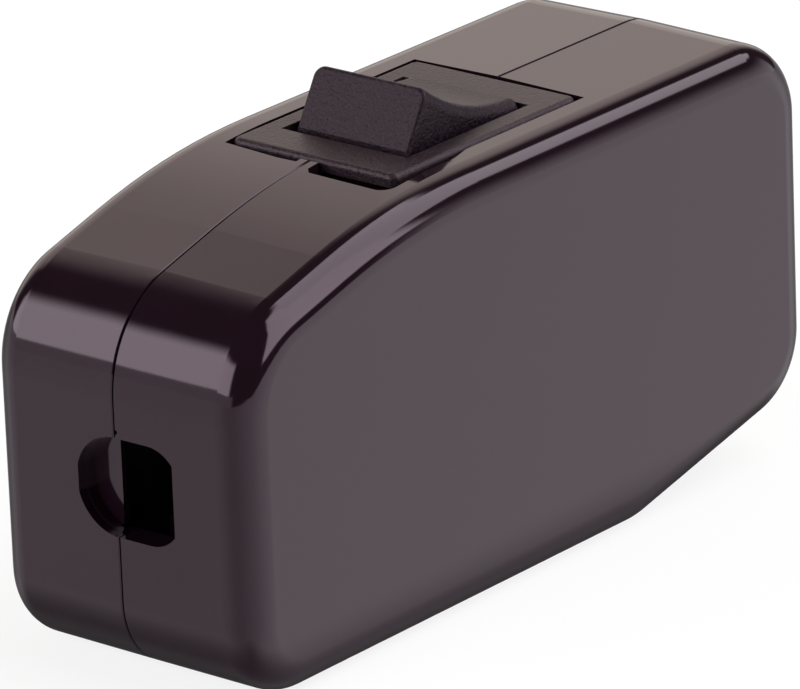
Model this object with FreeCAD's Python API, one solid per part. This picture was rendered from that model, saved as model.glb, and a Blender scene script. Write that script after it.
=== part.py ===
import FreeCAD, Part
import math
import os

# Inline cord switch: a two-part case split along its upright middle plane, with a
# small two-pole rocker switch snapped into its top.
# Millimetres. X runs from the near cord entry to the far one, Z is up from the flat
# bottom, and Y = 0 is the plane where the two half shells meet.

# Case, outside
case_width = 23.8
near_face_height = 27.6
near_slope_run = 19.2
far_face_rise = 4.4
far_slope_run = 19.8
near_bottom_radius = 6.2
near_top_radius = 8.2
slope_top_radius = 60.0
far_top_radius = 6.4
far_bottom_radius = 6.6
far_slope_radius = 9.0
side_edge_radius = 2.6
draft_deg = 0.95
bottom_trim = 0.02

# Case, inside
wall = 2.2
smallest_radius = 0.3
parting_gap = 0.12
parting_chamfer = 0.08
slope_chamfer = 0.04
top_chamfer = 0.15
tongue_width = 0.8
tongue_height = 0.8
tongue_clearance = 0.12
tongue_setback = 0.1
tongue_root = 0.6
rib_root = 0.4

# Cord entries and clamps
entry_height = 14.87
entry_radius = 3.75
entry_room = 5.3
slot_depth = 5.2
slot_corner_radius = 2.8
slot_corner_overrun = 0.6
web_thickness = 0.5
web_setback = 0.35
recess_reach = 3.6
recess_step_depth = 0.8
recess_step = 0.15
insert_line_width = 0.08
insert_line_depth = 0.05
insert_top = 3.4
insert_reach = 6.45
nick_rise = 4.2
nick_width = 0.3
nick_height = 0.3
nick_depth = 0.5
clamp_length = 5.0
clamp_ear_thickness = 2.8
clamp_ear_radius = 1.5
clamp_arch_thickness = 2.2
clamp_seat_height = 1.6
clamp_boss_radius = 2.5
guide_thickness = 1.4
guide_height = 2.4

# Screws
case_screw_low = 7.6
case_screw_high = 23.4
case_boss_radius = 3.0
boss_gap = 0.4
case_screw_radius = 1.45
case_head_radius = 2.6
case_head_height = 1.9
case_head_depth = 3.2
case_screw_length = 15.0
case_screw_tip_room = 1.0
clamp_screw_radius = 1.4
clamp_head_radius = 2.4
clamp_head_height = 1.7
clamp_head_gap = 1.25
clamp_screw_length = 9.5
terminal_screw_radius = 1.4
terminal_screw_length = 2.4
terminal_head_radius = 1.9
terminal_head_height = 1.5
terminal_head_gap = 0.2
screw_slot_width = 0.7
screw_slot_depth = 0.85
screw_crown_radius = 0.5
head_clearance = 0.25
shank_clearance = 0.05

# Switch module
module_x = 0.35
module_gap = 3.8
bezel_end_lip = 1.1
bezel_side_lip = 0.95
bezel_thickness = 1.0
bezel_clearance = 0.3
bezel_corner_radius = 0.7
bezel_edge_radius = 0.45
body_length = 18.8
body_width = 13.4
body_depth = 13.6
body_clearance = 0.1
frame_wall = 0.9
collar_depth = 3.1
window_end_wall = 2.45
window_side_wall = 0.85
relief_depth = 0.3
relief_reach = 1.65
relief_side = 0.5
relief_side_end = 4.4
relief_side_ramp = 1.9
relief_corner_radius = 1.2
relief_tab = 0.8
relief_tab_slant = 0.5
screw_relief_reach = 0.55
screw_relief_full = 2.6
snap_reach = 0.45
snap_width = 4.0
snap_face = 0.3
snap_height = 2.2
snap_clearance = 0.2
base_thickness = 1.6
base_rim_height = 1.2
base_rim_width = 0.8
base_fit = 0.1
barrier_thickness = 0.8
barrier_rise = 0.6
skirt_inset = 1.0
skirt_height = 5.0
support_offset = 3.2
support_thickness = 1.6
support_ledge = 0.7

# Rocker
rocker_tilt_deg = 20.0
rocker_side_gap = 0.65
rocker_end_gap = 0.12
rocker_top_height = 4.75
rocker_dish = 0.95
rocker_foot_gap = 0.56
rocker_foot_depth = 1.4
rocker_foot_taper = 0.35
rocker_skin = 1.2
rocker_end_skin = 1.6
rocker_edge_radius = 0.3
rocker_shoulder_radius = 0.9
rocker_web_thickness = 1.2
rocker_web_drop = 1.6
pivot_below_bezel = 2.2
pivot_radius = 1.2
pivot_clearance = 0.05
pivot_end_gap = 0.15

# Contact mechanism
pole_offset = 2.9
plunger_radius = 1.4
plunger_clearance = 0.06
plunger_tip_radius = 0.8
plunger_tip_flat = 0.2
plunger_tip_centre = 7.6
plunger_cone = 1.1
plunger_length = 4.4
plunger_bore_radius = 1.0
plunger_bore_depth = 2.8
socket_height = 1.2
tube_wall = 0.8
tube_depth = 5.2
spring_wire = 0.28
spring_coils = 6.0
spring_clearance = 0.1
spring_end_gap = 0.05
bridge_rest_gap = 0.2
bridge_angle_deg = 24.0
bridge_swing_deg = 8.0
bridge_thickness = 0.5
bridge_bend_radius = 0.4
bridge_width = 3.4
bridge_end = 2.4
contact_radius = 1.2
contact_height = 0.6
contact_gap = 0.08
cradle_width = 2.6
cradle_floor = 1.0
cradle_lip = 0.15
cradle_relief_deg = 1.0
cradle_clearance = 0.05
strap_thickness = 0.8
strap_width = 3.2
strap_clearance = 0.08
strap_end_gap = 0.05
strap_room = 0.7
stem_gap = 1.1
shelf_lip = 0.2

# Terminals
block_length = 4.4
block_width = 4.8
block_height = 6.0
block_wire_radius = 1.3
block_wire_drop = 3.1
block_slot_depth = 1.4
earth_length = 12.0
earth_width = 5.0
earth_height = 5.0
earth_wire_radius = 1.5
earth_wire_shift = 0.4
earth_screw_pitch = 6.0
earth_screw_length = 1.9
earth_rib = 1.4
earth_rib_height = 4.2
earth_clearance = 0.1
earth_hold = 0.6
earth_gap = 1.8

# How far a cutting tool runs past the face that it opens
overcut = 1.0
# How closely an edge has to lie at a place to be picked there
near_enough = 1e-6

# Worked out from the sizes above
case_length = body_length + 2 * (module_gap + 2 * case_boss_radius + boss_gap + 2 * guide_thickness
                                 + clamp_length + entry_room)
case_height = (wall + earth_height + earth_gap + terminal_head_height + terminal_head_gap + block_height
               + base_thickness + body_depth + bezel_thickness)
half_length = case_length / 2
half_width = case_width / 2
inner_side = half_width - wall
draft_slope = math.tan(math.radians(draft_deg))
shell_face = parting_gap / 2
far_entry_height = case_height - entry_height
clamp_inset = entry_room + guide_thickness + clamp_length / 2
clamp_screw_offset = entry_radius + clamp_head_radius + clamp_head_gap
case_screw_inset = half_length - clamp_inset - clamp_length / 2 - guide_thickness - boss_gap - case_boss_radius
case_head_seat = half_width - case_head_depth - case_head_height
bezel_length = body_length + 2 * bezel_end_lip
bezel_width = body_width + 2 * bezel_side_lip
window_length = body_length - 2 * window_end_wall
window_width = body_width - 2 * window_side_wall
bezel_under = case_height - bezel_thickness
body_bottom = bezel_under - body_depth
base_bottom = body_bottom - base_thickness
pivot_z = case_height - pivot_below_bezel
rocker_tilt = math.radians(rocker_tilt_deg)
rocker_top_reach = (window_length / 2 - rocker_end_gap
                    - rocker_top_height * math.sin(rocker_tilt)) / math.cos(rocker_tilt)
rocker_foot_reach = window_length / 2 - rocker_foot_gap
rocker_half = window_width / 2 - rocker_side_gap
rocker_hollow_top = pivot_z + rocker_top_height - rocker_dish - rocker_skin
plunger_shoulder = pivot_z - plunger_tip_centre + plunger_cone
plunger_bore_floor = plunger_shoulder + plunger_length - plunger_bore_depth
rest_arm = math.radians(bridge_angle_deg - bridge_swing_deg)
swing = math.radians(bridge_swing_deg)
bridge_drop = (plunger_tip_centre * math.cos(rocker_tilt - rest_arm) + plunger_tip_radius
               - bridge_bend_radius + bridge_rest_gap) / math.cos(rest_arm)
bridge_z = pivot_z - bridge_drop
bridge_outer = bridge_bend_radius + bridge_thickness
bridge_arm = body_length / 2 - frame_wall - strap_room - strap_thickness / 2 - stem_gap - bridge_end
terminal_stems = (module_x, module_x + bridge_arm + bridge_end + stem_gap)

ALONG_X = FreeCAD.Vector(1, 0, 0)
ALONG_Y = FreeCAD.Vector(0, 1, 0)
ALONG_Z = FreeCAD.Vector(0, 0, 1)


# Helpers

def box(low, high):
    """A block between two opposite corners."""
    size = [high[i] - low[i] for i in range(3)]
    return Part.makeBox(size[0], size[1], size[2], FreeCAD.Vector(*low))


def rod(radius, start, direction, length):
    return Part.makeCylinder(radius, length, FreeCAD.Vector(*start), direction)


def fuse(shapes):
    shapes = list(shapes)
    return shapes[0].multiFuse(shapes[1:]).removeSplitter()


def cut(shape, tools):
    return shape.cut(list(tools)).removeSplitter()


def turned(shape, x, z, degrees):
    """A copy turned about the line through (x, z) along +Y."""
    copy = shape.copy()
    copy.rotate(FreeCAD.Vector(x, 0, z), ALONG_Y, degrees)
    return copy


def edges_where(shape, test):
    return [edge for edge in shape.Edges if test(edge)]


def edge_lies_at(edge, axis, value):
    return all(abs(vertex.Point[axis] - value) < near_enough for vertex in edge.Vertexes)


def tangent_arc(before, corner, after, radius):
    """Start, middle and end of the arc that rounds one corner of a run of lines."""
    towards_before = before - corner
    towards_after = after - corner
    towards_before.normalize()
    towards_after.normalize()
    half = towards_before.getAngle(towards_after) / 2
    reach = radius / math.tan(half)
    inwards = towards_before + towards_after
    inwards.normalize()
    middle = corner + inwards * (radius / math.sin(half) - radius)
    return corner + towards_before * reach, middle, corner + towards_after * reach


def inset_corners(corners, distances):
    """Corners (x, z, radius) of a convex outline moved inwards, each edge by its own
    distance. Edge i runs from corner i to corner i + 1, clockwise seen from -Y."""
    count = len(corners)
    lines = []
    for i in range(count):
        ax, az, _ = corners[i]
        bx, bz, _ = corners[(i + 1) % count]
        length = math.hypot(bx - ax, bz - az)
        dx, dz = (bx - ax) / length, (bz - az) / length
        lines.append((ax + dz * distances[i], az - dx * distances[i], dx, dz))
    moved = []
    for i in range(count):
        px, pz, pdx, pdz = lines[i - 1]
        qx, qz, qdx, qdz = lines[i]
        along = ((qx - px) * qdz - (qz - pz) * qdx) / (pdx * qdz - pdz * qdx)
        radius = corners[i][2] - max(distances[i - 1], distances[i])
        moved.append((px + pdx * along, pz + pdz * along, max(radius, smallest_radius)))
    return moved


def rounded_outline(corners, y):
    """A closed wire at height y: straight edges joined by tangent arcs."""
    places = [FreeCAD.Vector(x, y, z) for x, z, _ in corners]
    count = len(corners)
    arcs = [tangent_arc(places[i - 1], places[i], places[(i + 1) % count], corners[i][2])
            for i in range(count)]
    edges = []
    for i in range(count):
        edges.append(Part.Arc(*arcs[i]).toShape())
        edges.append(Part.LineSegment(arcs[i][2], arcs[(i + 1) % count][0]).toShape())
    return Part.Wire(edges)


def bent_strip(points, bend_radius, thickness, width, y_middle):
    """A strip of constant thickness, bent along points (x, z) of its middle line."""
    places = [FreeCAD.Vector(x, y_middle - width / 2, z) for x, z in points]
    edges = []
    start = places[0]
    for i in range(1, len(places) - 1):
        arc = tangent_arc(places[i - 1], places[i], places[i + 1], bend_radius)
        edges.append(Part.LineSegment(start, arc[0]).toShape())
        edges.append(Part.Arc(*arc).toShape())
        start = arc[2]
    edges.append(Part.LineSegment(start, places[-1]).toShape())
    first = places[1] - places[0]
    first.normalize()
    side = first.cross(ALONG_Y) * (thickness / 2)
    across = ALONG_Y * width
    section = Part.makePolygon([places[0] + side, places[0] + side + across, places[0] - side + across,
                                places[0] - side, places[0] + side])
    return Part.Wire(edges).makePipeShell([section], True, False)


def slotted_screw(point, direction, shank_radius, length, head_radius, head_height):
    """A screw with its head's underside at point and its shank along direction."""
    point = FreeCAD.Vector(*point)
    shank = Part.makeCylinder(shank_radius, length, point, direction)
    top = point - direction * head_height
    head = Part.makeCylinder(head_radius, head_height, top, direction)
    crown = edges_where(head, lambda e: abs((e.CenterOfMass - top).dot(direction)) < near_enough)
    head = head.makeFillet(screw_crown_radius, crown)
    slot = Part.makeBox(head_radius * 2, screw_slot_width, screw_slot_depth + overcut)
    slot.translate(FreeCAD.Vector(-head_radius, -screw_slot_width / 2, -overcut))
    slot.Placement = FreeCAD.Placement(top, FreeCAD.Rotation(ALONG_Z, direction)).multiply(slot.Placement)
    return fuse([head, shank]).cut(slot)


# Case

def case_corners():
    """Side outline of the case, clockwise seen from -Y, from the near bottom corner."""
    return [
        (-half_length, 0, near_bottom_radius),
        (-half_length, near_face_height, near_top_radius),
        (-half_length + near_slope_run, case_height, slope_top_radius),
        (half_length, case_height, far_top_radius),
        (half_length, far_face_rise, far_bottom_radius),
        (half_length - far_slope_run, 0, far_slope_radius),
    ]


def edge_insets(amount, drafted):
    """Every side of the outline goes in by amount and the draft, the flat bottom by amount."""
    return [amount + drafted] * 5 + [amount]


def loft_body(outlines, edge_radius):
    """A body through outlines from the parting plane outwards, its last edge rounded."""
    wires = [rounded_outline(corners, y) for corners, y in outlines]
    body = Part.makeLoft(wires, True, True)
    last_corners, last_y = outlines[-1]
    rim = edges_where(body, lambda e: edge_lies_at(e, 1, last_y))
    sharpest = min(radius for _, _, radius in last_corners)
    return body.makeFillet(min(edge_radius, sharpest * 0.98), rim)


def outer_body(side):
    """Outside of one half shell, with its bottom cut to a plane."""
    near = edge_insets(0, 0)
    far = edge_insets(0, draft_slope * half_width)
    bevelled = [parting_chamfer, slope_chamfer, top_chamfer] + [parting_chamfer] * 3
    outlines = []
    for insets, y in ((bevelled, shell_face), (near, shell_face + parting_chamfer), (far, half_width)):
        insets[-1] -= bottom_trim
        outlines.append((inset_corners(case_corners(), insets), side * y))
    body = loft_body(outlines, side_edge_radius)
    return body.cut(box((-case_length, -case_width, -overcut), (case_length, case_width, 0)))


def hollow_body(side):
    """Room inside one half shell."""
    outlines = [(inset_corners(case_corners(), edge_insets(wall, 0)), 0),
                (inset_corners(case_corners(), edge_insets(wall, draft_slope * inner_side)), side * inner_side)]
    return loft_body(outlines, side_edge_radius - wall)


def outline_ring(outer_inset, inner_inset, y_from, y_to):
    """A ring that follows the case outline, between two insets."""
    outer = Part.Face(rounded_outline(inset_corners(case_corners(), edge_insets(outer_inset, 0)), y_from))
    inner = Part.Face(rounded_outline(inset_corners(case_corners(), edge_insets(inner_inset, 0)), y_from))
    return outer.cut(inner).extrude(ALONG_Y * (y_to - y_from))


def entry_slot(x_from, x_to, height):
    """The cord entry's half in the smooth shell: a slot with a flat end, its corners cut by arcs."""
    reach = slot_depth + slot_corner_overrun
    block = box((x_from, -reach, height - entry_radius), (x_to, slot_depth, height + entry_radius))
    corners = edges_where(block, lambda e: edge_lies_at(e, 1, -reach)
                          and abs(abs(e.CenterOfMass.z - height) - entry_radius) < near_enough)
    block = block.makeFillet(slot_corner_radius, corners)
    return block.common(box((x_from, -slot_depth, height - entry_radius),
                            (x_to, slot_depth, height + entry_radius)))


def entry_recess(x_from, x_to, height, radius):
    """The cord entry's half in the screw shell: a round recess with a flat side."""
    return rod(radius, (x_from, 0, height), ALONG_X, x_to - x_from).common(
        box((x_from, -radius, height - radius), (x_to, recess_reach + radius - entry_radius, height + radius)))


def insert_line(x, inward, height, y_from, y_to):
    """The fine line round an entry that the mould's insert leaves, between two y."""
    start, end = entry_span(x, inward, insert_line_depth)
    outside = box((start, y_from, height - insert_top), (end, y_to, height + insert_top))
    edge = insert_line_width
    inside_from = y_from + edge if y_from < -entry_radius else y_from
    inside_to = y_to if y_from < -entry_radius else y_to - edge
    return outside.cut(box((start, inside_from, height - insert_top + edge),
                           (end, inside_to, height + insert_top - edge)))


def entry_places():
    """Outer face x, height and inward direction of the near and the far cord entry."""
    return [(-half_length, entry_height, 1), (half_length, far_entry_height, -1)]


def entry_span(x, inward, depth):
    """Lower and upper x of a cut that comes in from outside an entry to a depth."""
    return sorted((x - inward * overcut, x + inward * depth))


def clamp_places():
    """Middle x and height of the near and the far cord clamp."""
    return [(-half_length + clamp_inset, entry_height), (half_length - clamp_inset, far_entry_height)]


def clamp_screw_places():
    return [(x, z + step) for x, z in clamp_places() for step in (-clamp_screw_offset, clamp_screw_offset)]


def case_screw_places():
    """Two screws at the near end, and the same two with the case turned end for end."""
    near = [(-case_screw_inset, case_screw_low), (-case_screw_inset, case_screw_high)]
    return near + [(-x, case_height - z) for x, z in near]


def module_cuts():
    """The seat for the bezel plate and the way through for the module body."""
    cuts = []
    for length, width, clearance, floor in (
            (bezel_length, bezel_width, bezel_clearance, bezel_under),
            (body_length, body_width, body_clearance, case_height - wall - overcut)):
        half_x = length / 2 + clearance
        half_y = width / 2 + clearance
        cuts.append(box((module_x - half_x, -half_y, floor),
                        (module_x + half_x, half_y, case_height + overcut)))
    return cuts


def prism(corners, bottom, top):
    """A block over a closed run of corners (x, y)."""
    outline = Part.makePolygon([FreeCAD.Vector(x, y, bottom) for x, y in corners + corners[:1]])
    return Part.Face(outline).extrude(ALONG_Z * (top - bottom))


def smooth_relief():
    """Room round the near corner of the bezel in the smooth shell, up to the tab at the parting."""
    near = module_x - bezel_length / 2 - bezel_clearance
    side = -bezel_width / 2 - bezel_clearance
    inside_x = near + relief_reach
    inside_y = side + relief_reach
    end = near + relief_side_end + relief_reach
    corners = [(near - relief_reach, side - relief_side), (end, side - relief_side),
               (end + relief_side_ramp, side), (end + relief_side_ramp, inside_y), (inside_x, inside_y),
               (inside_x, -relief_tab), (near - relief_reach + relief_tab_slant, -relief_tab),
               (near - relief_reach, -relief_tab - relief_tab_slant)]
    relief = prism(corners, bezel_under - relief_depth, case_height + overcut)
    return relief.makeFillet(relief_corner_radius, edges_where(
        relief, lambda e: edge_lies_at(e, 0, corners[0][0]) and edge_lies_at(e, 1, corners[0][1])))


def screw_relief():
    """Room beside the near edge of the bezel in the screw shell, wider towards the tab."""
    near = module_x - bezel_length / 2 - bezel_clearance
    side = bezel_width / 2 + bezel_clearance
    return prism([(near + relief_reach, side), (near, side), (near - screw_relief_reach, screw_relief_full),
                  (near - screw_relief_reach, relief_tab), (near + relief_reach, relief_tab)],
                 bezel_under - relief_depth, case_height + overcut)


def module_supports(side):
    """Ribs from the side wall that the base plate stands on."""
    low, high = sorted((side * (body_width / 2 - support_ledge), side * (inner_side + rib_root)))
    ribs = []
    for x in (module_x - support_offset, module_x + support_offset):
        ribs.append(box((x - support_thickness / 2, low, wall - rib_root),
                        (x + support_thickness / 2, high, base_bottom)))
    return ribs


def earth_pocket():
    """Ribs of the smooth shell behind the earth block and at its two ends."""
    back = -earth_width / 2
    ribs = []
    for end in (-1, 1):
        cheek = module_x + end * (earth_length / 2 + earth_clearance + earth_rib / 2)
        rest = module_x + end * (earth_length / 2 - earth_rib)
        for x, reach in ((cheek, back + earth_hold), (rest, back)):
            ribs.append(box((x - earth_rib / 2, -inner_side - rib_root, wall - rib_root),
                            (x + earth_rib / 2, reach, wall + earth_rib_height)))
    return ribs


def earth_stop():
    """Rib of the screw shell that keeps the earth block against its back ribs."""
    return box((module_x - earth_rib / 2, earth_width / 2 + earth_clearance, wall - rib_root),
               (module_x + earth_rib / 2, inner_side + rib_root, wall + earth_rib_height))


def entry_guides(solid_inside):
    """Saddle ribs of the smooth shell on both sides of each clamp, which guide the cord."""
    guides = []
    reach = entry_radius + guide_height
    for x, z in clamp_places():
        for start in (x - clamp_length / 2 - guide_thickness, x + clamp_length / 2):
            rib = box((start, -half_width, z - reach), (start + guide_thickness, -shell_face, z + reach))
            guides.append(rib.common(solid_inside))
    return guides


def clamp_bosses():
    """Pillars of the smooth shell that the cord clamps are screwed down on."""
    start = -inner_side - rib_root
    return [rod(clamp_boss_radius, (x, start, z), ALONG_Y, clamp_seat_height - start)
            for x, z in clamp_screw_places()]


def smooth_shell():
    outer = outer_body(-1)
    hollow = hollow_body(-1)
    tongue = outline_ring(wall - tongue_width, wall - tongue_setback, -shell_face - tongue_root, tongue_height)
    bosses = [rod(case_boss_radius, (x, -shell_face, z), -ALONG_Y, inner_side + rib_root - shell_face)
              for x, z in case_screw_places()]
    shell = fuse([outer.cut(hollow), tongue] + bosses + clamp_bosses() + module_supports(-1)
                 + entry_guides(outer) + earth_pocket())
    tools = module_cuts() + [smooth_relief()]
    for x, z in clamp_screw_places():
        tools.append(rod(clamp_screw_radius + shank_clearance, (x, clamp_seat_height, z), -ALONG_Y,
                         clamp_screw_length))
    for x, z in case_screw_places():
        tools.append(rod(case_screw_radius + shank_clearance, (x, 0, z), -ALONG_Y,
                         case_screw_length - case_head_seat + case_screw_tip_room))
    for x, z, inward in entry_places():
        start, end = entry_span(x, inward, clamp_inset + clamp_length)
        tools.append(entry_slot(start, end, z))
        start, end = entry_span(x, inward, wall + overcut)
        tools.append(entry_recess(start, end, z, entry_radius))
        tools.append(insert_line(x, inward, z, -insert_reach, 0))
        start, end = entry_span(x, inward, nick_depth)
        tools.append(box((start, -nick_width, z + inward * nick_rise - nick_height / 2),
                         (end, 0, z + inward * nick_rise + nick_height / 2)))
    return cut(shell, tools)


def screw_shell():
    outer = outer_body(1)
    hollow = hollow_body(1)
    bosses = [rod(case_boss_radius, (x, shell_face, z), ALONG_Y, inner_side + rib_root - shell_face)
              for x, z in case_screw_places()]
    shell = fuse([outer.cut(hollow), earth_stop()] + bosses + module_supports(1))
    tools = module_cuts() + [screw_relief()]
    tools.append(outline_ring(wall - tongue_width - tongue_clearance, wall + tongue_clearance, 0,
                              tongue_height + tongue_clearance))
    for x, z in case_screw_places():
        tools.append(rod(case_screw_radius + 2 * shank_clearance, (x, 0, z), ALONG_Y, half_width))
        tools.append(rod(case_head_radius + head_clearance, (x, case_head_seat, z), ALONG_Y, half_width))
    for x, z, inward in entry_places():
        start, end = entry_span(x, inward, recess_step_depth)
        tools.append(entry_recess(start, end, z, entry_radius))
        start, end = entry_span(x, inward, wall - web_thickness)
        tools.append(entry_recess(start, end, z, entry_radius - recess_step))
        tools.append(insert_line(x, inward, z, 0, recess_reach))
        start, end = entry_span(x, inward, wall + overcut)
        tools.append(box((start, 0, z - entry_radius), (end, web_setback, z + entry_radius)))
    return cut(shell, tools)


def case_screws():
    return [slotted_screw((x, case_head_seat, z), -ALONG_Y, case_screw_radius, case_screw_length,
                          case_head_radius, case_head_height) for x, z in case_screw_places()]


# Cord clamps

def cord_clamp(x, z):
    """An arched bar with a flat ear at each end."""
    low_x = x - clamp_length / 2
    ear_top = clamp_seat_height + clamp_ear_thickness
    ear_reach = clamp_screw_offset + clamp_boss_radius
    ears = box((low_x, clamp_seat_height, z - ear_reach), (low_x + clamp_length, ear_top, z + ear_reach))
    corners = edges_where(ears, lambda e: abs(e.CenterOfMass.x - x) > clamp_length / 2 - near_enough
                          and abs(e.CenterOfMass.z - z) > ear_reach - near_enough)
    ears = ears.makeFillet(clamp_ear_radius, corners)
    arch_radius = entry_radius + clamp_arch_thickness
    arch = rod(arch_radius, (low_x, 0, z), ALONG_X, clamp_length)
    arch = arch.common(box((low_x, clamp_seat_height, z - arch_radius),
                           (low_x + clamp_length, arch_radius, z + arch_radius)))
    tools = [rod(entry_radius, (low_x, 0, z), ALONG_X, clamp_length)]
    for step in (-clamp_screw_offset, clamp_screw_offset):
        tools.append(rod(clamp_screw_radius + 2 * shank_clearance, (x, 0, z + step), ALONG_Y,
                         ear_top + overcut))
    return cut(fuse([ears, arch]), tools)


def clamp_screws():
    top = clamp_seat_height + clamp_ear_thickness
    return [slotted_screw((x, top, z), -ALONG_Y, clamp_screw_radius, clamp_screw_length,
                          clamp_head_radius, clamp_head_height) for x, z in clamp_screw_places()]


# Switch module

def module_frame():
    """Bezel plate and body in one moulding, open below and at the window."""
    plate = box((module_x - bezel_length / 2, -bezel_width / 2, bezel_under),
                (module_x + bezel_length / 2, bezel_width / 2, case_height))
    plate = plate.makeFillet(bezel_corner_radius, edges_where(
        plate, lambda e: abs(e.Vertexes[0].Z - e.Vertexes[-1].Z) > bezel_thickness / 2))
    plate = plate.makeFillet(bezel_edge_radius, edges_where(plate, lambda e: edge_lies_at(e, 2, case_height)))
    body = box((module_x - body_length / 2, -body_width / 2, body_bottom),
               (module_x + body_length / 2, body_width / 2, bezel_under))
    window = box((module_x - window_length / 2, -window_width / 2, body_bottom - overcut),
                 (module_x + window_length / 2, window_width / 2, case_height + overcut))
    room_x = body_length / 2 - frame_wall
    room_y = body_width / 2 - frame_wall
    room = box((module_x - room_x, -room_y, body_bottom - overcut),
               (module_x + room_x, room_y, bezel_under - collar_depth))
    bearing = rod(pivot_radius + pivot_clearance, (module_x, -body_width, pivot_z), ALONG_Y, body_width * 2)
    return cut(fuse([plate, body, snap(-1), snap(1)]), [window, room, bearing])


def snap(end):
    """A wedge that catches under the top wall of the case."""
    top = case_height - wall - snap_clearance
    root = module_x + end * body_length / 2
    tip = root + end * snap_reach
    profile = [(root, top), (tip, top), (tip, top - snap_face), (root, top - snap_height), (root, top)]
    outline = Part.makePolygon([FreeCAD.Vector(x, -snap_width / 2, z) for x, z in profile])
    return Part.Face(outline).extrude(ALONG_Y * snap_width)


def module_base():
    """Plate under the module body, with a rim inside it and a wall between the poles."""
    inner_x = body_length / 2 - frame_wall - base_fit
    inner_y = body_width / 2 - frame_wall - base_fit
    rim_top = body_bottom + base_rim_height
    plate = box((module_x - body_length / 2, -body_width / 2, base_bottom),
                (module_x + body_length / 2, body_width / 2, body_bottom))
    rim = box((module_x - inner_x, -inner_y, body_bottom), (module_x + inner_x, inner_y, rim_top))
    rim = rim.cut(box((module_x - inner_x + base_rim_width, -inner_y + base_rim_width, body_bottom),
                      (module_x + inner_x - base_rim_width, inner_y - base_rim_width, rim_top)))
    barrier = box((module_x - inner_x, -barrier_thickness / 2, body_bottom),
                  (module_x + inner_x, barrier_thickness / 2, bridge_z + barrier_rise))
    skirt_x = body_length / 2 - skirt_inset
    skirt = box((module_x - skirt_x, -barrier_thickness / 2, base_bottom - skirt_height),
                (module_x + skirt_x, barrier_thickness / 2, base_bottom))
    half_x = strap_thickness / 2 + strap_clearance
    half_y = strap_width / 2 + strap_clearance
    slots = [box((x - half_x, y - half_y, base_bottom - overcut), (x + half_x, y + half_y, rim_top + overcut))
             for x, y in terminal_places()]
    return cut(fuse([plate, rim, barrier, skirt]), slots)


# Rocker, plungers and springs

def rocker_outline(y):
    """Side outline of the rocker in its upright pose: a dished top on a trapezoid."""
    top = pivot_z + rocker_top_height
    foot = pivot_z - rocker_foot_depth
    corners = [(-rocker_top_reach, top), (rocker_top_reach, top), (rocker_foot_reach, pivot_z),
               (rocker_foot_reach - rocker_foot_taper, foot), (-rocker_foot_reach + rocker_foot_taper, foot),
               (-rocker_foot_reach, pivot_z), (-rocker_top_reach, top)]
    places = [FreeCAD.Vector(module_x + x, y, z) for x, z in corners]
    dish = FreeCAD.Vector(module_x, y, top - rocker_dish)
    edges = [Part.Arc(places[0], dish, places[1]).toShape()]
    for start, end in zip(places[1:], places[2:]):
        edges.append(Part.LineSegment(start, end).toShape())
    return Part.Wire(edges)


def on_rocker_end(edge):
    """Whether an edge above the pivot borders one of the rocker's sloping end faces."""
    slant = (rocker_foot_reach - rocker_top_reach) / rocker_top_height
    return edge.CenterOfMass.z > pivot_z + near_enough and all(
        abs(abs(vertex.X - module_x) - rocker_foot_reach + slant * (vertex.Z - pivot_z)) < near_enough
        for vertex in edge.Vertexes)


def rocker_upright():
    """Cap with its studs and the two sockets for the plungers, in one moulding."""
    body = Part.Face(rocker_outline(-rocker_half)).extrude(ALONG_Y * (2 * rocker_half))
    body = body.makeFillet(rocker_shoulder_radius, edges_where(
        body, lambda e: e.CenterOfMass.z > pivot_z and abs(e.CenterOfMass.x - module_x) < near_enough))
    body = body.makeFillet(rocker_edge_radius, edges_where(body, on_rocker_end))
    hollow_x = rocker_foot_reach - rocker_end_skin
    hollow_y = rocker_half - rocker_skin
    foot = pivot_z - rocker_foot_depth
    hollow = box((module_x - hollow_x, -hollow_y, foot - overcut),
                 (module_x + hollow_x, hollow_y, rocker_hollow_top))
    web = box((module_x - rocker_web_thickness / 2, -hollow_y - rib_root, foot - rocker_web_drop),
              (module_x + rocker_web_thickness / 2, hollow_y + rib_root, rocker_hollow_top + rib_root))
    pieces = [body.cut(hollow), web]
    bores = []
    for side in (-1, 1):
        pieces.append(rod(pivot_radius, (module_x, side * (rocker_half - rib_root), pivot_z), ALONG_Y * side,
                          body_width / 2 - pivot_end_gap - rocker_half + rib_root))
        pieces.append(rod(plunger_radius + plunger_clearance + tube_wall,
                          (module_x, side * pole_offset, pivot_z - tube_depth), ALONG_Z,
                          tube_depth + rocker_hollow_top + rib_root - pivot_z))
        bores.append(rod(plunger_radius + plunger_clearance,
                         (module_x, side * pole_offset, pivot_z - tube_depth - overcut), ALONG_Z,
                         tube_depth + overcut + socket_height))
    return cut(fuse(pieces), bores)


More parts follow.
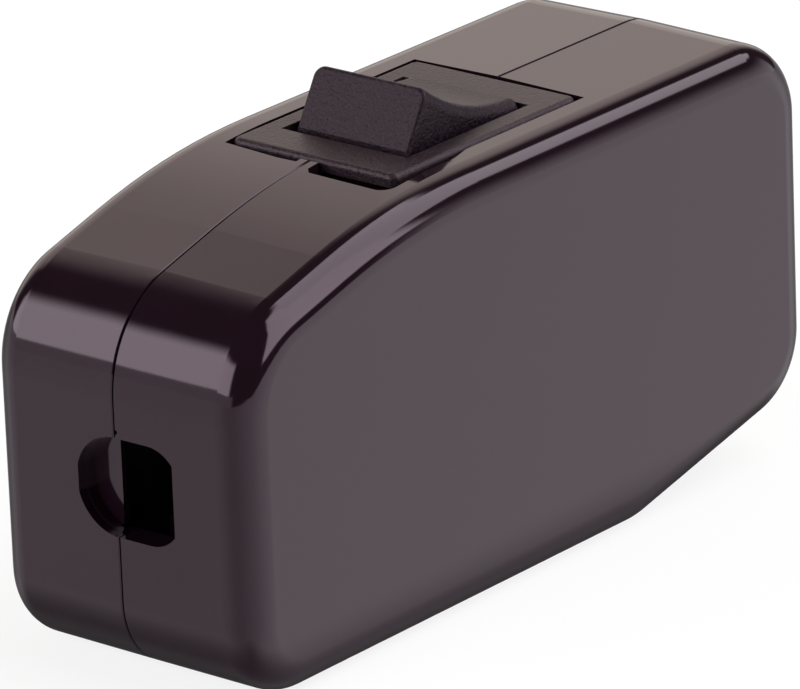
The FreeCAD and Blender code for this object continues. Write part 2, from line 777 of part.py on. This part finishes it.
def plunger_upright(y):
    """A hollow pin with a round tip, pressed down by the spring inside it."""
    tip_z = pivot_z - plunger_tip_centre
    top = plunger_shoulder + plunger_length
    lowest = tip_z - math.sqrt(plunger_tip_radius ** 2 - plunger_tip_flat ** 2)
    profile = [(plunger_tip_flat, lowest), (plunger_tip_radius, tip_z), (plunger_radius, plunger_shoulder),
               (plunger_radius, top), (plunger_bore_radius, top), (plunger_bore_radius, plunger_bore_floor),
               (0, plunger_bore_floor), (0, lowest), (plunger_tip_flat, lowest)]
    places = [FreeCAD.Vector(module_x + radius, y, z) for radius, z in profile]
    round_middle = plunger_tip_radius * math.sqrt(0.5)
    on_round = FreeCAD.Vector(module_x + round_middle, y, tip_z - round_middle)
    edges = [Part.Arc(places[0], on_round, places[1]).toShape()]
    for start, end in zip(places[1:], places[2:]):
        edges.append(Part.LineSegment(start, end).toShape())
    return Part.Face(Part.Wire(edges)).revolve(FreeCAD.Vector(module_x, y, 0), ALONG_Z, 360)


def spring_upright(y):
    """Coil spring from the floor of the plunger's bore to the roof of its socket."""
    radius = plunger_bore_radius - spring_clearance - spring_wire / 2
    start = plunger_bore_floor + spring_end_gap + spring_wire / 2
    end = pivot_z + socket_height - spring_end_gap - spring_wire / 2
    helix = Part.makeHelix((end - start) / spring_coils, end - start, radius)
    section = Part.Wire([Part.Circle(FreeCAD.Vector(radius, 0, 0), ALONG_Y, spring_wire / 2).toShape()])
    coil = Part.Wire(helix).makePipeShell([section], True, True)
    coil.translate(FreeCAD.Vector(module_x, y, start))
    return coil


# Contacts and terminals

def bridge_points():
    """Bend, knee and tip of one arm's middle line, about the bridge's axis, both arms level."""
    angle = math.radians(bridge_angle_deg)
    drop = (bridge_bend_radius + bridge_thickness / 2) / math.cos(angle)
    knee = (bridge_arm * math.cos(angle), bridge_arm * math.sin(angle) - drop)
    tip = (knee[0] + bridge_end * math.cos(swing), knee[1] + bridge_end * math.sin(swing))
    return (0, -drop), knee, tip


def bridge_upright(y):
    bend, knee, tip = bridge_points()
    line = [(-tip[0], tip[1]), (-knee[0], knee[1]), bend, knee, tip]
    points = [(module_x + x, bridge_z + z) for x, z in line]
    return bent_strip(points, bridge_bend_radius + bridge_thickness / 2, bridge_thickness, bridge_width, y)


def bridge_end_middle():
    """Middle of the flat end of a bridge's arm, about the bridge's axis."""
    _, knee, tip = bridge_points()
    return (knee[0] + tip[0]) / 2, (knee[1] + tip[1]) / 2


def bridge_contact_upright(y):
    """Rivet head under the far end of a bridge."""
    x, z = bridge_end_middle()
    down = FreeCAD.Vector(math.sin(swing), 0, -math.cos(swing))
    start = FreeCAD.Vector(module_x + x, y, bridge_z + z) + down * (bridge_thickness / 2)
    return Part.makeCylinder(contact_radius, contact_height, start, down)


def closed_contact_place():
    """Underside centre of the bridge's rivet when the switch is on."""
    x, z = bridge_end_middle()
    reach = bridge_thickness / 2 + contact_height
    x += math.sin(swing) * reach
    z -= math.cos(swing) * reach
    return (module_x + x * math.cos(swing) + z * math.sin(swing),
            bridge_z - x * math.sin(swing) + z * math.cos(swing))


def fixed_contact(y):
    x, z = closed_contact_place()
    return rod(contact_radius, (x, y, z - contact_gap), -ALONG_Z, contact_height)


def centre_terminal(y):
    """Strap with a round-bottomed cradle on top for the bend of the bridge."""
    groove_floor = bridge_z - bridge_outer - cradle_clearance
    cradle = box((module_x - cradle_width / 2, y - strap_width / 2, groove_floor - cradle_floor),
                 (module_x + cradle_width / 2, y + strap_width / 2, bridge_z - cradle_lip))
    stem = box((module_x - strap_thickness / 2, y - strap_width / 2, base_bottom - block_slot_depth),
               (module_x + strap_thickness / 2, y + strap_width / 2, groove_floor - cradle_floor / 2))
    groove = rod(bridge_outer + cradle_clearance, (module_x, y - strap_width, bridge_z), ALONG_Y,
                 strap_width * 2)
    arm_room = box((module_x, y - strap_width, groove_floor),
                   (module_x + cradle_width * 2, y + strap_width, bridge_z + cradle_width))
    arm_room = turned(arm_room, module_x, bridge_z, cradle_relief_deg - math.degrees(rest_arm))
    other_arm_room = arm_room.mirror(FreeCAD.Vector(module_x, 0, 0), ALONG_X)
    return cut(fuse([cradle, stem]), [groove, arm_room, other_arm_room])


def end_terminal(y):
    """Strap that carries the fixed contact on a shelf bent inwards from its stem."""
    contact_x, contact_z = closed_contact_place()
    shelf_z = contact_z - contact_gap - contact_height - strap_thickness / 2
    points = [(contact_x - contact_radius - shelf_lip, shelf_z), (terminal_stems[1], shelf_z),
              (terminal_stems[1], base_bottom - block_slot_depth)]
    return bent_strip(points, strap_thickness, strap_thickness, strap_width, y)


def terminal_places():
    return [(x, y) for x in terminal_stems for y in (-pole_offset, pole_offset)]


def terminal_block(x, y):
    """Pillar terminal: a slot for its strap, a wire hole along X and a screw from below."""
    block = box((x - block_length / 2, y - block_width / 2, base_bottom - block_height),
                (x + block_length / 2, y + block_width / 2, base_bottom))
    half_x = (strap_thickness + strap_clearance) / 2
    half_y = (strap_width + strap_clearance) / 2
    slot = box((x - half_x, y - half_y, base_bottom - block_slot_depth - strap_end_gap),
               (x + half_x, y + half_y, base_bottom))
    wire = rod(block_wire_radius, (x - block_length, y, base_bottom - block_wire_drop), ALONG_X,
               block_length * 2)
    thread = rod(terminal_screw_radius + shank_clearance, (x, y, base_bottom - block_height), ALONG_Z,
                 block_height - block_wire_drop)
    return cut(block, [slot, wire, thread])


def terminal_screws():
    seat = base_bottom - block_height - terminal_head_gap
    return [slotted_screw((x, y, seat), ALONG_Z, terminal_screw_radius, terminal_screw_length,
                          terminal_head_radius, terminal_head_height) for x, y in terminal_places()]


def earth_block():
    """Bar on the floor of the case with one long wire hole and two screw holes."""
    middle_z = wall + earth_height / 2
    block = box((module_x - earth_length / 2, -earth_width / 2, wall),
                (module_x + earth_length / 2, earth_width / 2, wall + earth_height))
    tools = [rod(earth_wire_radius, (module_x - earth_length, -earth_wire_shift, middle_z), ALONG_X,
                 earth_length * 2)]
    for end in (-1, 1):
        tools.append(rod(terminal_screw_radius + shank_clearance,
                         (module_x + end * earth_screw_pitch / 2, 0, middle_z), ALONG_Y, earth_width))
    return cut(block, tools)


def earth_screws():
    seat = earth_width / 2 + terminal_head_gap
    places = [(module_x + end * earth_screw_pitch / 2, seat, wall + earth_height / 2) for end in (-1, 1)]
    return [slotted_screw(place, -ALONG_Y, terminal_screw_radius, earth_screw_length,
                          terminal_head_radius, terminal_head_height) for place in places]


def write(name, shapes):
    shape = shapes[0] if len(shapes) == 1 else Part.makeCompound(shapes)
    for solid in shape.Solids:
        if not solid.isValid():
            print("not valid:", name)
    shape.exportStep("parts/" + name + ".step")
    print(name, len(shape.Solids), round(sum(solid.Volume for solid in shape.Solids), 2))


def main():
    os.makedirs("parts", exist_ok=True)
    write("smooth_shell", [smooth_shell()])
    write("screw_shell", [screw_shell()])
    write("case_screws", case_screws())
    for name, (x, z) in zip(("near", "far"), clamp_places()):
        write(name + "_cord_clamp", [cord_clamp(x, z)])
    write("clamp_screws", clamp_screws())
    write("module_frame", [module_frame()])
    write("module_base", [module_base()])
    write("rocker", [turned(rocker_upright(), module_x, pivot_z, rocker_tilt_deg)])
    for name, y in (("left", pole_offset), ("right", -pole_offset)):
        write(name + "_plunger", [turned(plunger_upright(y), module_x, pivot_z, rocker_tilt_deg)])
        write(name + "_plunger_spring", [turned(spring_upright(y), module_x, pivot_z, rocker_tilt_deg)])
        bridge = turned(bridge_upright(y), module_x, bridge_z, -bridge_swing_deg)
        write(name + "_contact_bridge", [bridge])
        bridge_contact = turned(bridge_contact_upright(y), module_x, bridge_z, -bridge_swing_deg)
        write(name + "_bridge_contact", [bridge_contact])
        write(name + "_centre_terminal", [centre_terminal(y)])
        write(name + "_end_terminal", [end_terminal(y)])
        write(name + "_fixed_contact", [fixed_contact(y)])
    write("terminal_blocks", [terminal_block(x, y) for x, y in terminal_places()])
    write("terminal_screws", terminal_screws())
    write("earth_block", [earth_block()])
    write("earth_screws", earth_screws())


main()
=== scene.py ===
import math

import bpy
from mathutils import Matrix, Vector

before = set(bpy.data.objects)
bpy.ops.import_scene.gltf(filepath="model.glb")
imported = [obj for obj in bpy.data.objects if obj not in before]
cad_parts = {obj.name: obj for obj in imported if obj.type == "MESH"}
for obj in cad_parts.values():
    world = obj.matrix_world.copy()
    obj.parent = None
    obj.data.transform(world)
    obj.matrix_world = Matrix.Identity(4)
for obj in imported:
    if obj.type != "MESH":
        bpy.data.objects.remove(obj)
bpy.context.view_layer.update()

# Lengths are in metres. An azimuth names the side that is looked from: 0 is in front along -Y, 90 is at +X.
MM = 0.001
length_axis = Vector((1, 0, 0))
width_axis = Vector((0, 1, 0))
up_axis = Vector((0, 0, 1))

# Camera, fitted to the outline of the object in the photograph
camera_target = Vector((0, 0, 16.5 * MM))
camera_azimuth = math.radians(-49.999)
camera_elevation = math.radians(20.284)
camera_roll = math.radians(-2.193)
camera_distance = 619.3 * MM
focal_pixels = 8503.0
axis_pixel = (410.28, 330.88)
picture_size = (800, 689)
sensor_width = 36.0
nearest_seen = 10 * MM

# Room: panels of light in a dim studio, with angles in degrees
room_level = 0.04
white_light = (1.0, 1.0, 1.0)
warm_light = (1.0, 0.885, 0.80)
room_panels = (
    # mirrored as the bright band along the near top edge
    dict(azimuth=-122, outer_half=42, inner_half=32, bottom=8.2, full_from=9.6, full_to=34, top=43,
         radiance=3.4, colour=white_light),
    # mirrored between that band and the flat near end
    dict(azimuth=-128, outer_half=60, inner_half=50, bottom=-6, full_from=-2, full_to=8, top=9,
         radiance=0.7, colour=white_light),
    # mirrored in the roof and its slope
    dict(azimuth=140, outer_half=40, inner_half=22, bottom=-6, full_from=0, full_to=38, top=55,
         radiance=1.08, colour=warm_light),
    # mirrored as the strip along the big side's upper edge, from its near end to its far end
    dict(azimuth=20, outer_half=25, inner_half=21, bottom=13, full_from=17, full_to=72, top=80,
         radiance=3.3, colour=white_light),
    dict(azimuth=65, outer_half=24, inner_half=20, bottom=31, full_from=34, full_to=72, top=80,
         radiance=2.9, colour=white_light),
    dict(azimuth=97, outer_half=12, inner_half=8, bottom=50, full_from=54, full_to=72, top=80,
         radiance=2.9, colour=white_light),
    # mirrored between that strip and the flat big side
    dict(azimuth=62, outer_half=24, inner_half=16, bottom=-6, full_from=-2, full_to=0, top=27,
         radiance=1.1, colour=white_light),
)

# Floor: how much of it is evened out to white, and how bright it glows in the gloss on each side of it as
# painted light, with a painted shadow near the part
floor_size = 12.0
floor_roughness = 0.9
floor_white_to_camera = 0.8
floor_glow_to_camera = 1.05
floor_white_to_gloss = 0.95
# painted light and shade: the floor's glow in the gloss, brighter on the right, darker behind, and a painted
# shadow beneath, near the part
floor_gloss_left = 0.80
floor_gloss_right = 1.38
floor_gloss_behind = 0.25
floor_gloss_in_front = 0.75
floor_gloss_painted_shadow = 0.2
left_azimuth = math.radians(-130)
back_azimuth = math.radians(130)
footprint = (32 * MM, 11 * MM)
shade_reach = 9 * MM

# Colours, linear
case_colour = (0.0118, 0.0044, 0.0085)
case_deep = (0.0098, 0.0036, 0.0070)
case_sheen_tint = (1.0, 0.78, 0.93, 1)
grain_sheen_tint = (1.0, 0.77, 0.90, 1)
bezel_colour = (0.014, 0.008, 0.011)
rocker_colour = (0.0085, 0.0040, 0.0080)
inner_plastic = (0.030, 0.028, 0.028)
plunger_plastic = (0.62, 0.60, 0.53)
steel_colour = (0.60, 0.60, 0.58)
spring_colour = (0.45, 0.45, 0.47)
brass_colour = (0.72, 0.53, 0.24)
copper_colour = (0.72, 0.40, 0.24)
silver_colour = (0.78, 0.77, 0.74)
floor_colour = (0.95, 0.95, 0.95)

# Noise: where a colour ramp starts and ends on it, and how it is stretched along a piece
soft_ramp = (0.3, 0.7)
grain_ramp = (0.38, 0.66)
no_stretch = (1.0, 1.0, 1.0)
rubbed_along_x = (0.25, 1.0, 1.0)
drawn_along_x = (0.05, 1.0, 1.0)
drawn_along_z = (1.0, 1.0, 0.2)


# Nodes

def new_material(name):
    """A node material with its shader, ready for more nodes."""
    material = bpy.data.materials.new(name)
    material.use_nodes = True
    tree = material.node_tree
    return material, tree, tree.nodes["Principled BSDF"]


def feed(tree, value, socket):
    """Gives an input its value: a link from another node, or a constant."""
    if isinstance(value, bpy.types.NodeSocket):
        tree.links.new(value, socket)
    else:
        socket.default_value = value


def part_coordinates(tree, scale=no_stretch):
    """Places on the resting part, in metres, stretched by scale."""
    place = tree.nodes.new("ShaderNodeTexCoord")
    stretch = tree.nodes.new("ShaderNodeMapping")
    stretch.inputs["Scale"].default_value = scale
    tree.links.new(place.outputs["Object"], stretch.inputs["Vector"])
    return stretch.outputs["Vector"]


def noise(tree, vector, grain, detail=3.0, roughness=0.55):
    """Noise whose features are about grain metres across."""
    node = tree.nodes.new("ShaderNodeTexNoise")
    node.inputs["Scale"].default_value = 1.0 / grain
    node.inputs["Detail"].default_value = detail
    node.inputs["Roughness"].default_value = roughness
    tree.links.new(vector, node.inputs["Vector"])
    return node.outputs["Fac"]


def ramp(tree, value, ends, low_colour, high_colour):
    """Colours from the low one to the high one as the value goes between the two ends."""
    node = tree.nodes.new("ShaderNodeValToRGB")
    for element, position, colour in zip(node.color_ramp.elements, ends, (low_colour, high_colour)):
        element.position = position
        element.color = (*colour, 1)
    tree.links.new(value, node.inputs["Fac"])
    return node.outputs["Color"]


def remap(tree, value, low, high):
    """The value from 0 to 1 taken to the range from low to high."""
    node = tree.nodes.new("ShaderNodeMapRange")
    node.inputs["To Min"].default_value = low
    node.inputs["To Max"].default_value = high
    tree.links.new(value, node.inputs["Value"])
    return node.outputs["Result"]


def soft_step(tree, value, start, end, before=0.0, after=1.0):
    """From before to after as the value goes from start to end, either way round."""
    node = tree.nodes.new("ShaderNodeMapRange")
    node.interpolation_type = "SMOOTHSTEP"
    rising = start < end
    node.inputs["From Min"].default_value = min(start, end)
    node.inputs["From Max"].default_value = max(start, end)
    node.inputs["To Min"].default_value = before if rising else after
    node.inputs["To Max"].default_value = after if rising else before
    tree.links.new(value, node.inputs["Value"])
    return node.outputs["Result"]


def calculate(tree, operation, *values):
    """A math node's result; each value is another node's output or a number."""
    node = tree.nodes.new("ShaderNodeMath")
    node.operation = operation
    for value, socket in zip(values, node.inputs):
        feed(tree, value, socket)
    return node.outputs["Value"]


def along(tree, vector, towards):
    """How far a direction points towards another one."""
    node = tree.nodes.new("ShaderNodeVectorMath")
    node.operation = "DOT_PRODUCT"
    node.inputs[1].default_value = towards
    tree.links.new(vector, node.inputs[0])
    return node.outputs["Value"]


def coloured(tree, colour, strength):
    """A colour times the strength."""
    node = tree.nodes.new("ShaderNodeVectorMath")
    node.operation = "SCALE"
    node.inputs[0].default_value = colour
    tree.links.new(strength, node.inputs["Scale"])
    return node.outputs["Vector"]


def colour_sum(tree, first, second):
    """Two colours added up, the second one from a node or constant."""
    node = tree.nodes.new("ShaderNodeVectorMath")
    node.operation = "ADD"
    tree.links.new(first, node.inputs[0])
    feed(tree, second, node.inputs[1])
    return node.outputs["Vector"]


def emission(tree, strength):
    """A white glow of that strength, from a node or constant."""
    node = tree.nodes.new("ShaderNodeEmission")
    feed(tree, strength, node.inputs["Strength"])
    return node.outputs["Emission"]


def bump(tree, height, depth, below=None):
    """A bump of that depth in metres, on top of another one if given."""
    node = tree.nodes.new("ShaderNodeBump")
    node.inputs["Strength"].default_value = 1.0
    node.inputs["Distance"].default_value = depth
    tree.links.new(height, node.inputs["Height"])
    if below is not None:
        tree.links.new(below, node.inputs["Normal"])
    return node.outputs["Normal"]


def mixed_shader(tree, factor, first, second):
    """The first shader where the factor is 0, the second one where it is 1."""
    node = tree.nodes.new("ShaderNodeMixShader")
    tree.links.new(factor, node.inputs["Fac"])
    tree.links.new(first, node.inputs[1])
    tree.links.new(second, node.inputs[2])
    return node.outputs["Shader"]


# Materials

def gloss_plastic():
    """Polished thermoset: faint flow mottling, hardly any ripple, fine dust and rub marks."""
    mottle_size = 5.0 * MM
    rub_size = 0.9 * MM
    rub_roughness = (0.05, 0.11)
    ripple_size = 6.0 * MM
    ripple_depth = 0.002 * MM
    refraction = 1.52

    material, tree, shader = new_material("case_gloss_plastic")
    place = part_coordinates(tree)
    mottle = noise(tree, place, mottle_size, detail=2.0, roughness=0.5)
    tree.links.new(ramp(tree, mottle, soft_ramp, case_deep, case_colour), shader.inputs["Base Color"])
    rub = noise(tree, part_coordinates(tree, rubbed_along_x), rub_size, detail=6.0, roughness=0.7)
    tree.links.new(remap(tree, rub, *rub_roughness), shader.inputs["Roughness"])
    ripple = noise(tree, place, ripple_size, detail=1.0)
    tree.links.new(bump(tree, ripple, ripple_depth), shader.inputs["Normal"])
    shader.inputs["IOR"].default_value = refraction
    shader.inputs["Specular Tint"].default_value = case_sheen_tint
    return material


def textured_plastic(name, colour, grain, depth, sheen):
    """Spark-eroded moulding: a fine dull grain with slightly lighter high spots."""
    pale_share = 2.4
    dark_share = 0.3
    grain_roughness = (0.30, 0.56)
    coarse_grain = grain * 1.9
    coarse_depth = depth * 0.7
    refraction = 1.5

    material, tree, shader = new_material(name)
    place = part_coordinates(tree)
    fine = noise(tree, place, grain, detail=2.0, roughness=0.5)
    pale = tuple(channel * pale_share for channel in colour)
    dark = tuple(channel * dark_share for channel in colour)
    tree.links.new(ramp(tree, fine, grain_ramp, dark, pale), shader.inputs["Base Color"])
    tree.links.new(remap(tree, fine, *grain_roughness), shader.inputs["Roughness"])
    coarse = bump(tree, noise(tree, place, coarse_grain, detail=1.0), coarse_depth)
    tree.links.new(bump(tree, fine, depth, below=coarse), shader.inputs["Normal"])
    shader.inputs["IOR"].default_value = refraction
    shader.inputs["Specular IOR Level"].default_value = sheen
    shader.inputs["Specular Tint"].default_value = grain_sheen_tint
    return material


def moulded_plastic(name, colour):
    """Plain inner moulding with a soft, slightly uneven surface."""
    uneven_size = 1.4 * MM
    pale_share = 1.15
    uneven_roughness = (0.34, 0.50)
    pitting_size = 0.25 * MM
    pitting_depth = 0.004 * MM

    material, tree, shader = new_material(name)
    place = part_coordinates(tree)
    uneven = noise(tree, place, uneven_size)
    pale = tuple(channel * pale_share for channel in colour)
    tree.links.new(ramp(tree, uneven, soft_ramp, colour, pale), shader.inputs["Base Color"])
    tree.links.new(remap(tree, uneven, *uneven_roughness), shader.inputs["Roughness"])
    pitting = noise(tree, place, pitting_size)
    tree.links.new(bump(tree, pitting, pitting_depth), shader.inputs["Normal"])
    return material


def worked_metal(name, colour, stretch, roughness):
    """Metal with drawing marks along one direction and a faint tarnish."""
    mark_size = 0.12 * MM
    mark_depth = 0.003 * MM
    smoother = 0.08
    rougher = 0.12
    tarnish_size = 1.8 * MM
    dull_share = 0.8

    material, tree, shader = new_material(name)
    marks = noise(tree, part_coordinates(tree, stretch), mark_size, detail=4.0, roughness=0.6)
    tarnish = noise(tree, part_coordinates(tree), tarnish_size)
    dull = tuple(channel * dull_share for channel in colour)
    tree.links.new(ramp(tree, tarnish, soft_ramp, dull, colour), shader.inputs["Base Color"])
    tree.links.new(remap(tree, marks, roughness - smoother, roughness + rougher), shader.inputs["Roughness"])
    tree.links.new(bump(tree, marks, mark_depth), shader.inputs["Normal"])
    shader.inputs["Metallic"].default_value = 1.0
    return material


def dress(material, *names):
    """Gives CAD nodes their material."""
    for name in names:
        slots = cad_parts[name].data.materials
        slots.clear()
        slots.append(material)


def both_poles(*names):
    """The names of the left pole's nodes and of the right pole's."""
    return [side + "_" + name for side in ("left", "right") for name in names]


def dress_case():
    dress(gloss_plastic(), "smooth_shell", "screw_shell")
    dress(textured_plastic("bezel_plastic", bezel_colour, grain=0.15 * MM, depth=0.042 * MM, sheen=0.42),
          "module_frame")
    dress(textured_plastic("rocker_plastic", rocker_colour, grain=0.16 * MM, depth=0.060 * MM, sheen=0.28),
          "rocker")


def dress_inside():
    dress(moulded_plastic("inner_plastic", inner_plastic), "near_cord_clamp", "far_cord_clamp", "module_base")
    dress(moulded_plastic("plunger_plastic", plunger_plastic), *both_poles("plunger"))
    dress(worked_metal("plated_steel", steel_colour, no_stretch, roughness=0.3),
          "case_screws", "clamp_screws", "terminal_screws", "earth_screws")
    dress(worked_metal("spring_steel", spring_colour, drawn_along_z, roughness=0.3),
          *both_poles("plunger_spring"))
    dress(worked_metal("brass", brass_colour, drawn_along_x, roughness=0.28),
          "terminal_blocks", "earth_block", *both_poles("centre_terminal", "end_terminal"))
    dress(worked_metal("copper_strip", copper_colour, drawn_along_x, roughness=0.3),
          *both_poles("contact_bridge"))
    dress(worked_metal("contact_silver", silver_colour, no_stretch, roughness=0.2),
          *both_poles("bridge_contact", "fixed_contact"))


# Stage

def direction(azimuth, elevation=0.0):
    """From the object towards the place that an azimuth and elevation look from."""
    return Vector((math.sin(azimuth) * math.cos(elevation), -math.cos(azimuth) * math.cos(elevation),
                   math.sin(elevation)))


def painted_floor_glow(tree):
    """How bright the floor glows in the gloss, as painted light by the side that a ray comes from, with a
    painted shadow near the part.
    """
    left_to_right = (-0.6, 0.6)
    running_back = (-0.8, -0.35)
    running_forwards = (0.35, 0.9)

    incoming = tree.nodes.new("ShaderNodeNewGeometry").outputs["Incoming"]
    from_left = along(tree, incoming, direction(left_azimuth))
    from_behind = along(tree, incoming, direction(back_azimuth))
    place = tree.nodes.new("ShaderNodeTexCoord").outputs["Object"]
    beyond_ends, beyond_sides = [
        calculate(tree, "SUBTRACT", calculate(tree, "ABSOLUTE", along(tree, place, axis)), half)
        for axis, half in zip((length_axis, width_axis), footprint)]
    beyond = calculate(tree, "MAXIMUM", beyond_ends, beyond_sides)
    level = soft_step(tree, from_left, *left_to_right, floor_gloss_left, floor_gloss_right)
    for share in (soft_step(tree, from_behind, *running_back, before=floor_gloss_behind),
                  soft_step(tree, from_behind, *running_forwards, before=1.0, after=floor_gloss_in_front),
                  soft_step(tree, beyond, 0.0, shade_reach, before=floor_gloss_painted_shadow)):
        level = calculate(tree, "MULTIPLY", level, share)
    return level


def floor():
    """A wide pale sheet, evened out to white for the camera with the shadow kept, and glowing in reflections
    with painted light and a painted shadow near the part.
    """
    bpy.ops.mesh.primitive_plane_add(size=floor_size)
    sheet = bpy.context.object
    sheet.name = "floor"
    material, tree, shader = new_material("floor_white")
    shader.inputs["Base Color"].default_value = (*floor_colour, 1)
    shader.inputs["Roughness"].default_value = floor_roughness
    shader.inputs["Specular IOR Level"].default_value = 0.0
    ray = tree.nodes.new("ShaderNodeLightPath").outputs
    to_camera = calculate(tree, "MULTIPLY", ray["Is Camera Ray"], floor_white_to_camera)
    to_gloss = calculate(tree, "MULTIPLY", ray["Is Glossy Ray"], floor_white_to_gloss)
    seen = mixed_shader(tree, to_camera, shader.outputs["BSDF"], emission(tree, floor_glow_to_camera))
    # the gloss sees painted light on the floor, with a painted shadow near the part
    mirrored = mixed_shader(tree, to_gloss, seen, emission(tree, painted_floor_glow(tree)))
    tree.links.new(mirrored, tree.nodes["Material Output"].inputs["Surface"])
    sheet.data.materials.append(material)


def panel(tree, view, sizes):
    """The light of one panel of the room in the direction of view, with soft edges."""
    ahead = direction(math.radians(sizes["azimuth"]))
    aside = Vector((-ahead.y, ahead.x, 0.0))
    turn = calculate(tree, "ARCTAN2", along(tree, view, aside), along(tree, view, ahead))
    across = soft_step(tree, calculate(tree, "ABSOLUTE", turn),
                       math.radians(sizes["outer_half"]), math.radians(sizes["inner_half"]))
    height = along(tree, view, up_axis)
    bottom, full_from, full_to, top = [math.sin(math.radians(sizes[edge]))
                                       for edge in ("bottom", "full_from", "full_to", "top")]
    lower = soft_step(tree, height, bottom, full_from)
    upper = soft_step(tree, height, top, full_to)
    lit = calculate(tree, "MULTIPLY", across, calculate(tree, "MULTIPLY", lower, upper))
    return coloured(tree, sizes["colour"], calculate(tree, "MULTIPLY", lit, sizes["radiance"]))


def surroundings():
    """A dim studio with lit panels, which light the object and show in its gloss; the camera sees white."""
    world = bpy.data.worlds.new("studio")
    world.use_nodes = True
    tree = world.node_tree
    view = tree.nodes.new("ShaderNodeTexCoord").outputs["Generated"]
    room = tree.nodes["Background"]
    light = (room_level, room_level, room_level)
    for sizes in room_panels:
        light = colour_sum(tree, panel(tree, view, sizes), light)
    tree.links.new(light, room.inputs["Color"])
    white = tree.nodes.new("ShaderNodeBackground")
    white.inputs["Color"].default_value = (1, 1, 1, 1)
    ray = tree.nodes.new("ShaderNodeLightPath").outputs
    pick = mixed_shader(tree, ray["Is Camera Ray"], room.outputs["Background"], white.outputs["Background"])
    tree.links.new(pick, tree.nodes["World Output"].inputs["Surface"])
    bpy.context.scene.world = world


def camera():
    """The photograph's view: a rolled pinhole camera whose axis misses the middle of the picture."""
    back = direction(camera_azimuth, camera_elevation)
    level_right = (-back).cross(up_axis).normalized()
    level_up = level_right.cross(-back)
    right = level_right * math.cos(camera_roll) + level_up * math.sin(camera_roll)
    up = level_up * math.cos(camera_roll) - level_right * math.sin(camera_roll)
    width, height = picture_size
    lens = bpy.data.cameras.new("camera")
    lens.sensor_width = sensor_width
    lens.lens = focal_pixels / width * sensor_width
    lens.shift_x = (width / 2 - axis_pixel[0]) / width
    lens.shift_y = (axis_pixel[1] - height / 2) / width
    lens.clip_start = nearest_seen
    holder = bpy.data.objects.new("camera", lens)
    bpy.context.scene.collection.objects.link(holder)
    place = Matrix.Translation(camera_target + back * camera_distance)
    holder.matrix_world = place @ Matrix((right, up, back)).transposed().to_4x4()
    bpy.context.scene.camera = holder


dress_case()
dress_inside()
floor()
surroundings()
camera()
bpy.context.scene.view_settings.view_transform = "Standard"
